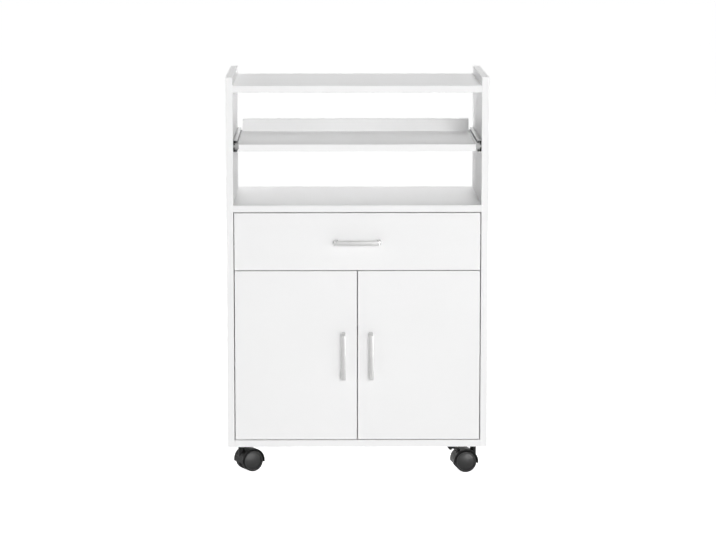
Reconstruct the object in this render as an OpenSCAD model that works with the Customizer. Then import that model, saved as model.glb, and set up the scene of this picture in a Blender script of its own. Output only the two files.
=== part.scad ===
// Mobile microwave cart in white coated board. Two side panels carry a top shelf, a pull-out
// shelf on ball-bearing slides and a lower cabinet with one drawer over two inset doors.
// It rolls on four twin-wheel swivel casters, and two of them have a brake lever.
// The origin is the centre of the bounding box on the floor: X to the right, Y to the back, Z up.

/* [Cart] */
// Width across the two side panels
cart_width = 600; // [520:10:700]
// Depth of the side panels from their front edge to their rear edge
cart_depth = 400; // [370:5:480]
// Height from the floor to the top of the side panels
cart_height = 920; // [880:5:1000]
// Thickness of the coated boards
board = 16; // [15:0.5:18]
// Gap round the drawer front and the doors
reveal = 2; // [1.5:0.5:3]
// Height of the side panels above the top shelf
gallery = 19; // [10:1:30]
// Width of the eased corners along the boards' four long edges
edge_ease = 0.6; // [0.3:0.1:1.2]

/* [Open bays] */
// Clear height between the top shelf and the pull-out shelf
upper_bay = 118; // [100:2:140]
// Clear height between the pull-out shelf and the cabinet top
lower_bay = 124; // [100:2:150]
// Height of the rear lip above the pull-out shelf
lip_height = 30; // [20:1:50]

/* [Slides] */
// Length of the pull-out shelf's slides
slide_length = 350; // [300:5:380]
// Free depth between the drawer slides' rear ends and the cabinet's back panel
slide_room = 17; // [5:1:40]
// Travel of the pull-out shelf and of the drawer
slide_travel = 250; // [200:5:260]
// Height of the outer slide member
slide_height = 27; // [25:0.5:32]
// Space that a slide takes between a side panel and what it carries
slide_space = 13; // [12.5:0.1:14]
// Thickness of the slides' sheet steel
slide_steel = 1.2; // [1:0.1:1.5]
// Height of the pull-out slides' middle above the underside of the shelf
pullout_slide_rise = 11.5; // [8:0.5:12]
// Radius of the steel balls
ball_radius = 2.1; // [1.8:0.1:2.3]
// Number of balls in each row of a cage
balls_per_row = 5; // [3:1:7]

/* [Drawer] */
// Height of the drawer front
drawer_face = 132; // [120:2:150]
// Height of the drawer's sides
drawer_side_height = 92; // [80:2:100]
// Height of the drawer's sides above the lower edge of the drawer front
drawer_side_rise = 24; // [16:1:30]
// Height of the drawer slides' middle above the lower edge of the drawer front
drawer_slide_rise = 68; // [50:1:80]
// Thickness of the drawer's sides and back
drawer_board = 12; // [10:0.5:15]
// Thickness of the drawer bottom and of the cabinet's back panel
thin_board = 3; // [2.5:0.5:4]
// Depth of the grooves that hold the thin boards
groove_depth = 5; // [4:0.5:6]
// Distance of the cabinet's back panel from the rear edge
back_inset = 12; // [8:1:14]

/* [Cupboard] */
// Height of the adjustable shelf's underside above the cabinet floor
inner_shelf_rise = 190; // [150:5:220]
// Distance of the adjustable shelf's front edge behind the front plane
inner_shelf_setback = 30; // [26:1:60]
// Diameter of the shelf pins
shelf_pin_bore = 5; // [4:0.5:6]

/* [Handles] */
// Spacing of a handle's two screws
handle_spacing = 96; // [64:2:110]
// Overall length of a handle
handle_length = 108; // [80:2:128]
// Distance that a handle stands out from its board
handle_reach = 28; // [22:1:35]
// Width of the handle bar
handle_width = 10; // [8:0.5:12]
// Thickness of the handle bar
handle_bar = 7; // [5:0.5:9]
// Distance of the door handles from the doors' meeting edges
handle_inset = 31; // [25:1:60]

/* [Hinges] */
// Distance of the hinge cups' centres from the doors' top and bottom edges
hinge_end = 70; // [50:5:90]
// Depth of the hinge cup in the door
cup_depth = 13.6; // [13.2:0.1:13.8]
// Diameter of the hinge cup
cup_diameter = 35; // [34:0.5:36]
// Distance from the side panel to the middle of the hinge cup
cup_centre = 24; // [23.5:0.5:25]
// Distance from the side panel to the hinge pin
pin_inset = 13; // [13:0.1:13.5]
// Depth of the hinge pin behind the door's front face
pin_depth = 6; // [6:0.1:6.4]
// Diameter of the hinge pin
hinge_pin = 3; // [2.5:0.1:3.2]
// Width of the hinge arm
arm_width = 14; // [10:0.5:15]

/* [Casters] */
// Height from the floor to the underside of the cabinet
caster_height = 64; // [64:0.5:70]
// Radius of the caster wheels
wheel_radius = 25; // [23:0.5:25.5]
// Width of one wheel
wheel_width = 17; // [14:0.5:20]
// Distance from the swivel axis to the axle
caster_trail = 21; // [20:0.5:24]
// Distance of the swivel axes from the side panels' outer faces
caster_side = 30; // [28:1:60]
// Distance of the swivel axes from the front and rear edges
caster_end = 40; // [38:1:80]
// Thickness of the wheel guard
guard_wall = 2.5; // [2:0.1:3]
// Thickness of the web between the two wheels
web_width = 10; // [9.5:0.5:14]
// Diameter of the axles
axle_diameter = 6; // [5:0.5:7]
// Diameter of the swivel pins
swivel_pin = 7; // [6:0.5:7.5]
// Travel of the brake levers in degrees
brake_travel = 18; // [10:1:20]

/* [Fits] */
// Radial clearance of a pin that turns in a bore
running_fit = 0.06; // [0.02:0.01:0.1]
// Radial clearance of a fastener in its own hole
snug_fit = 0.04; // [0.01:0.01:0.1]
// Gap between pieces that move past each other
moving_gap = 0.3; // [0.3:0.05:0.4]
// Gap between two loose pieces of metal that are screwed together
seat_gap = 0.03; // [0.02:0.01:0.05]

/* [Hidden] */
$fn = 48;

white_board = [0.95, 0.95, 0.95];
bright_steel = [0.78, 0.79, 0.80];
satin_metal = [0.70, 0.71, 0.72];
dark_plastic = [0.12, 0.12, 0.13];
grey_plastic = [0.27, 0.27, 0.28];
pale_wood = [0.80, 0.66, 0.45];

// The front plane of the boards, with the handles standing out in front of it
front_y = -(cart_depth - handle_reach) / 2;
inner_width = cart_width - 2 * board;
panel_x = inner_width / 2;

// Heights of the undersides of the fixed boards and of the pull-out shelf
top_shelf_z = cart_height - gallery - board;
pullout_z = top_shelf_z - upper_bay - board;
cabinet_top_z = pullout_z - lower_bay - board;
floor_z = caster_height + board;
drawer_z = cabinet_top_z - reveal - drawer_face;
door_z = floor_z + reveal;
door_height = drawer_z - reveal - door_z;
door_width = (inner_width - 3 * reveal) / 2;
inner_shelf_z = floor_z + inner_shelf_rise;

// The back panel stands in a groove with this much play
groove_play = 0.2;
back_y = cart_depth - back_inset - thin_board;

// Slides: the drawn-in ends of the members, the parts of their cross-section and the end guides
slide_setback = 2;
outer_reach = 9.4;
outer_lip = 1.5;
inner_height = slide_height - 2 * (slide_steel + 2 * ball_radius + 2 * moving_gap);
inner_start = 3.6;
ball_u = 5.4;
ball_play = 0.1;
ball_v = slide_height / 2 - slide_steel - moving_gap - ball_radius;
cage_steel = 1;
cage_gap = 0.5;
cage_start = slide_steel + cage_gap;
guide_length = 4;
guide_start = 3;
guide_reach = 4.6;
cage_margin = guide_length + 1;
cage_front = slide_travel / 2 + cage_margin;
pullout_slide_z = pullout_z + pullout_slide_rise;
drawer_slide_z = drawer_z + drawer_slide_rise;
slide_screw_places = [0.1, 0.7, 0.9];
slide_screw_length = 12;
inner_screw_length = 10;

// Half the width of what the slides carry, and the screws that hold the lip
carried_x = panel_x - slide_space;
pullout_depth = slide_setback + slide_length;
lip_screw_length = 40;
lip_screw_places = [-0.8, 0, 0.8];

// Adjustable shelf and its pins
shelf_pin_length = 20;
shelf_pin_inset = 50;
shelf_side_play = 1;
inner_shelf_gap = 4;
inner_shelf_back = back_y - inner_shelf_gap;

// Drawer box
drawer_side_z = drawer_z + drawer_side_rise;
drawer_bottom_rise = 8;
drawer_bottom_z = drawer_side_z + drawer_bottom_rise;
drawer_slide_y = board + slide_setback;
drawer_slide_length = back_y - slide_room - drawer_slide_y;
drawer_depth = slide_setback + drawer_slide_length;
drawer_back_y = board + drawer_depth - drawer_board;
drawer_dowel = 6;
drawer_dowel_length = 24;
drawer_dowel_inset = 18;
drawer_dowel_places = [drawer_dowel_inset, drawer_side_height - drawer_dowel_inset];
back_screw_length = 34;
back_screw_places = [22, 66];

// Screws and joining hardware
screw_shank = 4;
screw_head = 7.4;
head_height = 1.6;
recess_depth = 0.8;
recess_length = 4;
recess_width = 1;
overcut = 1;
dowel_diameter = 8;
dowel_length = 30;
dowel_in_side = 10;
cam_diameter = 15;
cam_depth = 12.5;
cam_distance = 24;
cam_slit_length = 5;
cam_slit_width = 1.2;
cam_slit_depth = 1.5;
bolt_diameter = 6;
bolt_neck_diameter = 3.5;
bolt_neck_length = 2;
bolt_head_length = 3;
bolt_head_start = 1;
bolt_thread_length = 10;
cam_slot_play = 0.5;
cam_slot = bolt_diameter + 2 * cam_slot_play;
joint_ends = [0.225, 0.775];
dowel_ends = [0.16, 0.84];
blind_end = 0.5;

// Handles
handle_foot = 10;
handle_bevel = 9;
inside_share = 0.65;
inside_bevel = handle_bevel * inside_share;
handle_screw_length = 22;

// Hinges: plan sizes from the side panel's inner face and the front plane
cup_wall = 1;
cup_floor = board - cup_depth;
cup_floor_wall = 0.8;
cup_screw_length = 13;
cup_flange = 1.2;
flange_length = 56;
flange_screw = 23;
barrel_radius = 2.4;
// The pin is held in two bosses inside the cup and ends short of the cup's outer wall
hinge_boss_room = 2.5;
hinge_boss_start = arm_width / 2 + hinge_boss_room;
hinge_boss_half = 3;
hinge_pin_half = sqrt(
    pow(cup_diameter / 2 - cup_wall / 4, 2) - pow(cup_centre - pin_inset + hinge_pin / 2, 2));
riser_start = 28;
riser_end = 34;
crank_front = 22;
crank_thickness = 4;
hinge_plate_thickness = 3;
arm_low = hinge_plate_thickness + seat_gap;
hinge_arm_top = 8;
hinge_arm_end = 76;
plate_start = 42;
plate_half = 22;
plate_screw_y = 56;
plate_screw_z = 16;
hinge_heights = [door_z + hinge_end, door_z + door_height - hinge_end];

// Casters: the caster's own frame has the swivel axis at zero and trails along X
caster_x = cart_width / 2 - caster_side;
wheel_start = web_width / 2 + moving_gap;
hood_width = 2 * (wheel_start + wheel_width);
guard_gap = 1.5;
guard_inside = wheel_radius + guard_gap;
guard_outside = guard_inside + guard_wall;
guard_drop = 4;
collar_height = 2;
neck_diameter = 14;
neck_low = 34;
neck_top = caster_height - collar_height - moving_gap;
swivel_floor = 4.5;
stem_diameter = 8;
stem_length = 12;
insert_diameter = 11;
insert_floor = 1;
insert_length = stem_length + insert_floor;
swivel_pin_low = neck_low + swivel_floor;
axle_boss_wall = 4;
wheel_face = 2.5;
bore_depth = wheel_width - wheel_face;
axle_half = wheel_start + bore_depth - blind_end;
tread_ease = 1.4;
rim_ease = 1.6;
tread_wall = 5;
disc_groove = 0.7;
disc_radius = wheel_radius - tread_wall;
// The lever's pivot, from the axle
lever_out = 17;
lever_up = 28;
lever_angle = atan2(lever_up, lever_out);
lever_distance = norm([lever_out, lever_up]);
lever_pin_radius = 1.5;
lever_barrel = 3.4;
lever_half = 10;
lever_play = 0.8;
lever_ear_inset = 2.4;
lever_ear_half = web_width / 2 - lever_ear_inset;
lever_reach = 22.5;
lever_blade = 3.6;
lever_rise = 6;
toe_step = 3;
toe_length = 5;
toe_back = 8;
slot_half = 6;
slot_turn = 3;
nose_half = 2.2;
nose_length = lever_distance - wheel_radius - 2 * moving_gap;
nose_start = wheel_start + moving_gap;

// A block between two opposite corners
module block(low, high) {
    translate(low) cube(high - low);
}

// Moves what is drawn from the front plane into the cart's own frame
module from_front() {
    translate([0, front_y, 0]) children();
}

// Draws what is drawn at the left side panel, or its mirror image at the right one
module at_side(side) {
    if (side < 0) translate([-panel_x, 0, 0]) children();
    else mirror([1, 0, 0]) translate([-panel_x, 0, 0]) children();
}

// A cylinder that runs along X, Y or Z from its start point
module rod_x(diameter, length) {
    rotate([0, 90, 0]) cylinder(d = diameter, h = length);
}
module rod_y(diameter, length) {
    rotate([-90, 0, 0]) cylinder(d = diameter, h = length);
}

// A board with its four long corners along X eased
module eased_board_x(size) {
    rotate([90, 0, 90]) linear_extrude(height = size[0]) eased_rectangle(size[1], size[2]);
}
// A board with its four long corners along Z eased
module eased_board_z(size) {
    linear_extrude(height = size[2]) eased_rectangle(size[0], size[1]);
}
module eased_rectangle(width, height) {
    e = edge_ease;
    polygon([
        [e, 0], [width - e, 0], [width, e], [width, height - e],
        [width - e, height], [e, height], [0, height - e], [0, e]
    ]);
}

// A pan-head screw along Z with its head below zero, and the hole for its shank
module screw(length) {
    cylinder(d = screw_shank, h = length);
    difference() {
        translate([0, 0, -head_height]) cylinder(d = screw_head, h = head_height);
        for (turn = [0, 90]) rotate([0, 0, turn])
            translate([-recess_length / 2, -recess_width / 2, -head_height - overcut])
                cube([recess_length, recess_width, recess_depth + overcut]);
    }
}
module screw_hole(length) {
    cylinder(d = screw_shank + 2 * snug_fit, h = length + blind_end);
}

// Joining hardware at the end of a fixed board whose underside is at height z
module at_board_ends(z, places) {
    for (side = [-1, 1], place = places)
        at_side(side) translate([0, place * cart_depth, z + board / 2]) children();
}
module cam_hole() {
    translate([cam_distance, 0, -board / 2 - overcut])
        cylinder(d = cam_diameter + 2 * snug_fit, h = cam_depth + overcut);
    rod_x(bolt_diameter + 2 * snug_fit, cam_distance);
}
module cam() {
    translate([cam_distance, 0, -board / 2]) difference() {
        cylinder(d = cam_diameter, h = cam_depth - snug_fit);
        translate([-cam_diameter, -cam_slot / 2, (board - cam_slot) / 2])
            cube([cam_diameter + bolt_head_length - bolt_head_start + overcut, cam_slot, board]);
        translate([-cam_slit_length / 2, -cam_slit_width / 2, -overcut])
            cube([cam_slit_length, cam_slit_width, cam_slit_depth + overcut]);
    }
}
// The bolt's head lies in the cam, behind a narrow neck
module cam_bolt() {
    head = cam_distance - bolt_head_start;
    neck = head - bolt_neck_length;
    translate([-bolt_thread_length, 0, 0]) rod_x(bolt_diameter, bolt_thread_length + neck);
    translate([neck, 0, 0]) rod_x(bolt_neck_diameter, bolt_neck_length);
    translate([head, 0, 0]) rod_x(bolt_diameter, bolt_head_length);
}
module joint_holes(z) {
    at_board_ends(z, joint_ends) cam_hole();
    at_board_ends(z, dowel_ends)
        rod_x(dowel_diameter + 2 * snug_fit, dowel_length - dowel_in_side + blind_end);
}
module side_joint_holes(z) {
    at_board_ends(z, joint_ends) translate([-bolt_thread_length - blind_end, 0, 0])
        rod_x(bolt_diameter + 2 * snug_fit, bolt_thread_length + blind_end + overcut);
    at_board_ends(z, dowel_ends) translate([-dowel_in_side - blind_end, 0, 0])
        rod_x(dowel_diameter + 2 * snug_fit, dowel_in_side + blind_end + overcut);
}

// Fixed boards
module side_panel(side) {
    color(white_board) from_front() difference() {
        at_side(side) translate([-board, 0, caster_height])
            eased_board_z([board, cart_depth, cart_height - caster_height]);
        at_side(side) block(
            [-groove_depth, back_y - groove_play, floor_z - groove_depth],
            [overcut, back_y + thin_board + groove_play, cabinet_top_z + groove_depth]);
        for (z = [top_shelf_z, cabinet_top_z, caster_height]) side_joint_holes(z);
        at_shelf_pins() translate([-shelf_pin_length / 2, 0, 0])
            rod_x(shelf_pin_bore + 2 * snug_fit, shelf_pin_length);
        at_outer_slide_screws() translate([-slide_screw_length, 0, 0])
            rod_x(screw_shank + 2 * snug_fit, slide_screw_length + overcut);
        at_hinge_plate_screws() translate([-slide_screw_length, 0, 0])
            rod_x(screw_shank + 2 * snug_fit, slide_screw_length + overcut);
    }
}
module left_side_panel() {
    side_panel(-1);
}
module right_side_panel() {
    side_panel(1);
}

module fixed_board(z) {
    translate([-panel_x, 0, z]) eased_board_x([inner_width, cart_depth, board]);
}
module back_groove(low, high) {
    block([-panel_x - overcut, back_y - groove_play, low],
        [panel_x + overcut, back_y + thin_board + groove_play, high]);
}
module top_shelf() {
    color(white_board) from_front() difference() {
        fixed_board(top_shelf_z);
        joint_holes(top_shelf_z);
    }
}
module cabinet_top() {
    color(white_board) from_front() difference() {
        fixed_board(cabinet_top_z);
        joint_holes(cabinet_top_z);
        back_groove(cabinet_top_z - overcut, cabinet_top_z + groove_depth);
    }
}
module bottom_panel() {
    color(white_board) difference() {
        from_front() difference() {
            fixed_board(caster_height);
            joint_holes(caster_height);
            back_groove(floor_z - groove_depth, floor_z + overcut);
        }
        at_casters() translate([0, 0, caster_height - overcut])
            cylinder(d = insert_diameter + 2 * snug_fit, h = insert_length + overcut + snug_fit);
    }
}
module back_panel() {
    edge = groove_depth - groove_play;
    color(white_board) from_front() block(
        [-panel_x - edge, back_y, floor_z - edge],
        [panel_x + edge, back_y + thin_board, cabinet_top_z + edge]);
}

// Adjustable shelf on four pins
module at_shelf_pins() {
    for (side = [-1, 1], y = [inner_shelf_setback + shelf_pin_inset, inner_shelf_back - shelf_pin_inset])
        at_side(side) translate([0, y, inner_shelf_z - shelf_pin_bore / 2]) children();
}
module inner_shelf() {
    color(white_board) from_front()
        translate([-panel_x + shelf_side_play, inner_shelf_setback, inner_shelf_z])
        eased_board_x([inner_width - 2 * shelf_side_play, inner_shelf_back - inner_shelf_setback, board]);
}
module shelf_pins() {
    color(bright_steel) from_front() at_shelf_pins() {
        translate([-shelf_pin_length / 2 + snug_fit, 0, 0]) rod_x(shelf_pin_bore, shelf_pin_length);
    }
}

// Joining hardware of the fixed boards
module cam_fittings() {
    color(satin_metal) from_front() for (z = [top_shelf_z, cabinet_top_z, caster_height])
        at_board_ends(z, joint_ends) {
            cam();
            cam_bolt();
        }
}
module dowels() {
    color(pale_wood) from_front() for (z = [top_shelf_z, cabinet_top_z, caster_height])
        at_board_ends(z, dowel_ends) translate([-dowel_in_side, 0, 0]) rod_x(dowel_diameter, dowel_length);
}

// Slides: drawn from a side panel's inner face, u along X, the front end at y = 0, the middle at z = 0
module outer_member(length) {
    half = slide_height / 2;
    difference() {
        block([0, 0, -half], [outer_reach, length, half]);
        block([slide_steel, -overcut, slide_steel - half],
            [outer_reach - slide_steel, length + overcut, half - slide_steel]);
        block([slide_steel, -overcut, slide_steel + outer_lip - half],
            [outer_reach + overcut, length + overcut, half - slide_steel - outer_lip]);
        for (place = slide_screw_places)
            translate([0, place * length, 0]) countersink(snug_fit, overcut / 10);
    }
}
// The countersunk head lies flush in the web, so that the cage can run over it
module countersink(play, extra) {
    widening = (screw_head - screw_shank) / slide_steel * extra;
    translate([-extra, 0, 0]) rotate([0, 90, 0]) cylinder(
        d1 = screw_shank + 2 * play - widening,
        d2 = screw_head + 2 * play + widening,
        h = slide_steel + 2 * extra);
}
module inner_member(length) {
    half = inner_height / 2;
    difference() {
        block([inner_start, 0, -half], [slide_space, length, half]);
        block([inner_start - overcut, -overcut, slide_steel - half],
            [slide_space - slide_steel, length + overcut, half - slide_steel]);
        for (place = slide_screw_places)
            translate([slide_space - slide_steel - overcut, place * length, 0])
                rod_x(screw_shank + 2 * snug_fit, slide_steel + 2 * overcut);
    }
}
// The cage is a thin strip bent at both edges, with a hole for every ball
module ball_cage(length) {
    half = ball_v + cage_steel / 2;
    cage_length = length - slide_travel - 2 * cage_margin + guide_length;
    step = cage_length / balls_per_row;
    lip_end = outer_reach - slide_steel - moving_gap;
    difference() {
        block([cage_start, cage_front, -half], [lip_end, cage_front + cage_length, half]);
        block([cage_start + cage_steel, cage_front - overcut, cage_steel - half],
            [lip_end + overcut, cage_front + cage_length + overcut, half - cage_steel]);
        for (i = [0 : balls_per_row - 1])
            translate([ball_u, cage_front + step * (i + 0.5), -slide_height / 2])
                cylinder(r = ball_radius + ball_play, h = slide_height);
    }
    for (i = [0 : balls_per_row - 1], row = [-1, 1])
        translate([ball_u, cage_front + step * (i + 0.5), row * ball_v]) sphere(r = ball_radius);
}
// Two plastic guides in the corners of the outer member's front mouth keep the inner one centred
module end_guide() {
    half = slide_height / 2 - slide_steel - snug_fit;
    pass = inner_height / 2 + moving_gap;
    difference() {
        for (low = [-half, guide_start])
            block([slide_steel + snug_fit, 0, low], [guide_reach, guide_length, low + half - guide_start]);
        block([inner_start - moving_gap, -overcut, -pass], [outer_reach, guide_length + overcut, pass]);
    }
}

module pullout_slide(side) {
    color(bright_steel) from_front() at_side(side) translate([0, slide_setback, pullout_slide_z]) children();
}
module drawer_slide(side) {
    color(bright_steel) from_front() at_side(side) translate([0, drawer_slide_y, drawer_slide_z]) children();
}
module pullout_left_outer_slide() {
    pullout_slide(-1) outer_member(slide_length);
}
module pullout_right_outer_slide() {
    pullout_slide(1) outer_member(slide_length);
}
module drawer_left_outer_slide() {
    drawer_slide(-1) outer_member(drawer_slide_length);
}
module drawer_right_outer_slide() {
    drawer_slide(1) outer_member(drawer_slide_length);
}
module pullout_left_inner_slide() {
    pullout_slide(-1) inner_member(slide_length);
}
module pullout_right_inner_slide() {
    pullout_slide(1) inner_member(slide_length);
}
module drawer_left_inner_slide() {
    drawer_slide(-1) inner_member(drawer_slide_length);
}
module drawer_right_inner_slide() {
    drawer_slide(1) inner_member(drawer_slide_length);
}
module pullout_ball_cages() {
    for (side = [-1, 1]) pullout_slide(side) ball_cage(slide_length);
}
module drawer_ball_cages() {
    for (side = [-1, 1]) drawer_slide(side) ball_cage(drawer_slide_length);
}
module slide_end_guides() {
    for (side = [-1, 1]) {
        color(dark_plastic) from_front() at_side(side)
            translate([0, slide_setback, pullout_slide_z]) end_guide();
        color(dark_plastic) from_front() at_side(side)
            translate([0, drawer_slide_y, drawer_slide_z]) end_guide();
    }
}

// Screws in the side panels: those of the outer slides and of the hinge plates
module at_outer_slide_screws() {
    for (side = [-1, 1], place = slide_screw_places) at_side(side) {
        translate([0, slide_setback + place * slide_length, pullout_slide_z]) children();
        translate([0, drawer_slide_y + place * drawer_slide_length, drawer_slide_z]) children();
    }
}
module at_hinge_plate_screws() {
    for (side = [-1, 1], z = hinge_heights, row = [-1, 1])
        at_side(side) translate([0, plate_screw_y, z + row * plate_screw_z]) children();
}
module carcass_screws() {
    color(satin_metal) from_front() {
        at_outer_slide_screws() {
            countersink(0, 0);
            translate([-slide_screw_length + blind_end, 0, 0]) rod_x(screw_shank, slide_screw_length);
        }
        at_hinge_plate_screws() translate([hinge_plate_thickness, 0, 0]) rotate([0, -90, 0])
            screw(slide_screw_length + hinge_plate_thickness - blind_end);
    }
}

// Pull-out shelf with its rear lip
module pullout_shelf() {
    color(white_board) from_front() difference() {
        translate([-carried_x, 0, pullout_z])
            eased_board_x([2 * carried_x, pullout_depth - board, board]);
        at_inner_screws(slide_setback, pullout_slide_z, slide_length) screw_hole(inner_screw_length);
        at_lip_screws() screw_hole(lip_screw_length);
    }
}
module pullout_lip() {
    color(white_board) from_front() difference() {
        translate([-carried_x, pullout_depth - board, pullout_z])
            eased_board_x([2 * carried_x, board, board + lip_height]);
        at_lip_screws() translate([0, 0, -overcut]) screw_hole(lip_screw_length);
    }
}
// Screws from behind, through the lip into the shelf's rear edge
module at_lip_screws() {
    for (place = lip_screw_places)
        translate([place * carried_x, pullout_depth, pullout_z + board / 2]) rotate([90, 0, 0]) children();
}
// Screws from inside the inner slide members into what they carry, at a slide's front end, middle
// height and length
module at_inner_screws(y, z, length) {
    for (side = [-1, 1], place = slide_screw_places) at_side(side)
        translate([slide_space - slide_steel, y + place * length, z]) rotate([0, 90, 0]) children();
}
module pullout_fasteners() {
    color(satin_metal) from_front() {
        at_inner_screws(slide_setback, pullout_slide_z, slide_length) screw(inner_screw_length);
        at_lip_screws() screw(lip_screw_length);
    }
}

// Drawer
module drawer_front() {
    color(white_board) from_front() difference() {
        translate([-panel_x + reveal, 0, drawer_z])
            eased_board_x([inner_width - 2 * reveal, board, drawer_face]);
        at_drawer_handle() handle_holes();
        at_drawer_dowels() rod_y(drawer_dowel + 2 * snug_fit, drawer_dowel_length);
    }
}
module at_drawer_dowels() {
    for (side = [-1, 1], z = drawer_dowel_places)
        translate([side * (carried_x - drawer_board / 2), board - drawer_dowel_length / 2, drawer_side_z + z])
            children();
}
module drawer_side(side) {
    color(white_board) from_front() difference() {
        translate([side < 0 ? -carried_x : carried_x - drawer_board, board, drawer_side_z])
            cube([drawer_board, drawer_depth, drawer_side_height]);
        drawer_groove();
        at_drawer_dowels() rod_y(drawer_dowel + 2 * snug_fit, drawer_dowel_length + blind_end);
        at_inner_screws(drawer_slide_y, drawer_slide_z, drawer_slide_length) screw_hole(inner_screw_length);
        at_drawer_back_screws() translate([0, 0, -overcut]) screw_hole(back_screw_length);
    }
}
// The bottom lies in a groove of the sides and of the drawer front, and the back stands on it
module drawer_groove() {
    edge = carried_x - drawer_board + groove_depth;
    block([-edge, board - overcut, drawer_bottom_z - groove_play],
        [edge, board + drawer_depth + overcut, drawer_bottom_z + thin_board + groove_play]);
}
module drawer_left_side() {
    drawer_side(-1);
}
module drawer_right_side() {
    drawer_side(1);
}
module drawer_back() {
    back_x = carried_x - drawer_board;
    color(white_board) from_front() difference() {
        block([-back_x, drawer_back_y, drawer_bottom_z + thin_board],
            [back_x, drawer_back_y + drawer_board, drawer_side_z + drawer_side_height]);
        at_drawer_back_screws() screw_hole(back_screw_length);
    }
}
module drawer_bottom() {
    edge = carried_x - drawer_board + groove_depth - groove_play;
    color(white_board) from_front() block(
        [-edge, board, drawer_bottom_z], [edge, drawer_back_y + drawer_board, drawer_bottom_z + thin_board]);
}
module at_drawer_back_screws() {
    for (side = [-1, 1], z = back_screw_places) at_side(side)
        translate([slide_space, drawer_back_y + drawer_board / 2, drawer_side_z + z])
            rotate([0, 90, 0]) children();
}
module drawer_fasteners() {
    color(satin_metal) from_front() {
        at_inner_screws(drawer_slide_y, drawer_slide_z, drawer_slide_length) screw(inner_screw_length);
        at_drawer_back_screws() screw(back_screw_length);
        at_drawer_handle() handle_screws();
    }
    color(pale_wood) from_front() at_drawer_dowels() translate([0, snug_fit, 0])
        rod_y(drawer_dowel, drawer_dowel_length);
}

// Bow handle, drawn along X on the plane y = 0 and standing out towards -Y
module handle() {
    half = handle_length / 2;
    inside = half - handle_foot;
    low = handle_reach - handle_bar;
    difference() {
        translate([0, 0, -handle_width / 2]) linear_extrude(height = handle_width) mirror([0, 1]) polygon([
            [-half, 0], [-half, handle_reach - handle_bevel], [handle_bevel - half, handle_reach],
            [half - handle_bevel, handle_reach], [half, handle_reach - handle_bevel], [half, 0],
            [inside, 0], [inside, low - inside_bevel], [inside - inside_bevel, low],
            [inside_bevel - inside, low], [-inside, low - inside_bevel], [-inside, 0]
        ]);
        for (end = [-1, 1]) translate([end * handle_spacing / 2, -handle_screw_length + board - blind_end, 0])
            rod_y(screw_shank + 2 * snug_fit, handle_screw_length);
    }
}
module handle_holes() {
    for (end = [-1, 1]) translate([end * handle_spacing / 2, -overcut, 0])
        rod_y(screw_shank + 2 * snug_fit, board + 2 * overcut);
}
module handle_screws() {
    for (end = [-1, 1]) translate([end * handle_spacing / 2, board, 0]) rotate([90, 0, 0])
        screw(handle_screw_length);
}
module at_drawer_handle() {
    translate([0, 0, drawer_z + drawer_face / 2]) children();
}
module at_door_handle(side) {
    translate([side * (reveal / 2 + handle_inset), 0, door_z + door_height / 2])
        rotate([0, 90, 0]) children();
}
module drawer_handle() {
    color(satin_metal) from_front() at_drawer_handle() handle();
}
module left_door_handle() {
    color(satin_metal) from_front() at_door_handle(-1) handle();
}
module right_door_handle() {
    color(satin_metal) from_front() at_door_handle(1) handle();
}

// Doors with their hinge cups
module at_hinges(side) {
    for (z = hinge_heights) at_side(side) translate([0, 0, z]) children();
}
module door(side) {
    low_x = side < 0 ? -panel_x + reveal : reveal / 2;
    color(white_board) from_front() difference() {
        translate([low_x, 0, door_z]) eased_board_z([door_width, board, door_height]);
        at_door_handle(side) handle_holes();
        at_hinges(side) translate([cup_centre, cup_floor, 0])
            rod_y(cup_diameter + 2 * snug_fit, board);
        at_cup_screws(side) screw_hole(cup_screw_length);
    }
}
module left_door() {
    door(-1);
}
module right_door() {
    door(1);
}
module hinge_cup() {
    difference() {
        union() {
            translate([cup_centre, cup_floor + snug_fit, 0])
                rod_y(cup_diameter, board - cup_floor - snug_fit);
            block([cup_centre - cup_diameter / 2, board, -flange_length / 2],
                [cup_centre + cup_diameter / 2, board + cup_flange, flange_length / 2]);
        }
        difference() {
            translate([cup_centre, cup_floor + cup_floor_wall, 0]) rod_y(cup_diameter - 2 * cup_wall, board);
            for (row = [-1, 1]) translate([0, 0, row * (hinge_boss_start + cup_diameter / 2)])
                block([pin_inset - hinge_boss_half, 0, -cup_diameter / 2],
                    [pin_inset + hinge_boss_half, pin_depth + hinge_boss_half, cup_diameter / 2]);
        }
        translate([pin_inset, pin_depth, -hinge_pin_half - snug_fit])
            cylinder(d = hinge_pin + 2 * snug_fit, h = 2 * (hinge_pin_half + snug_fit));
        for (row = [-1, 1]) translate([cup_centre, board - overcut, row * flange_screw])
            rod_y(screw_shank + 2 * snug_fit, cup_flange + 2 * overcut);
    }
}
module hinge_pin_rod() {
    translate([pin_inset, pin_depth, -hinge_pin_half]) cylinder(d = hinge_pin, h = 2 * hinge_pin_half);
}
module hinge_cups(side) {
    color(bright_steel) from_front() at_hinges(side) {
        hinge_cup();
        hinge_pin_rod();
    }
}
module left_hinge_cups() {
    hinge_cups(-1);
}
module right_hinge_cups() {
    hinge_cups(1);
}
module at_cup_screws(side) {
    at_hinges(side) for (row = [-1, 1])
        translate([cup_centre, board + cup_flange, row * flange_screw]) rotate([90, 0, 0]) children();
}
module door_screws(side) {
    color(satin_metal) from_front() {
        at_cup_screws(side) screw(cup_screw_length);
        at_door_handle(side) handle_screws();
    }
}
module left_door_screws() {
    door_screws(-1);
}
module right_door_screws() {
    door_screws(1);
}

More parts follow.
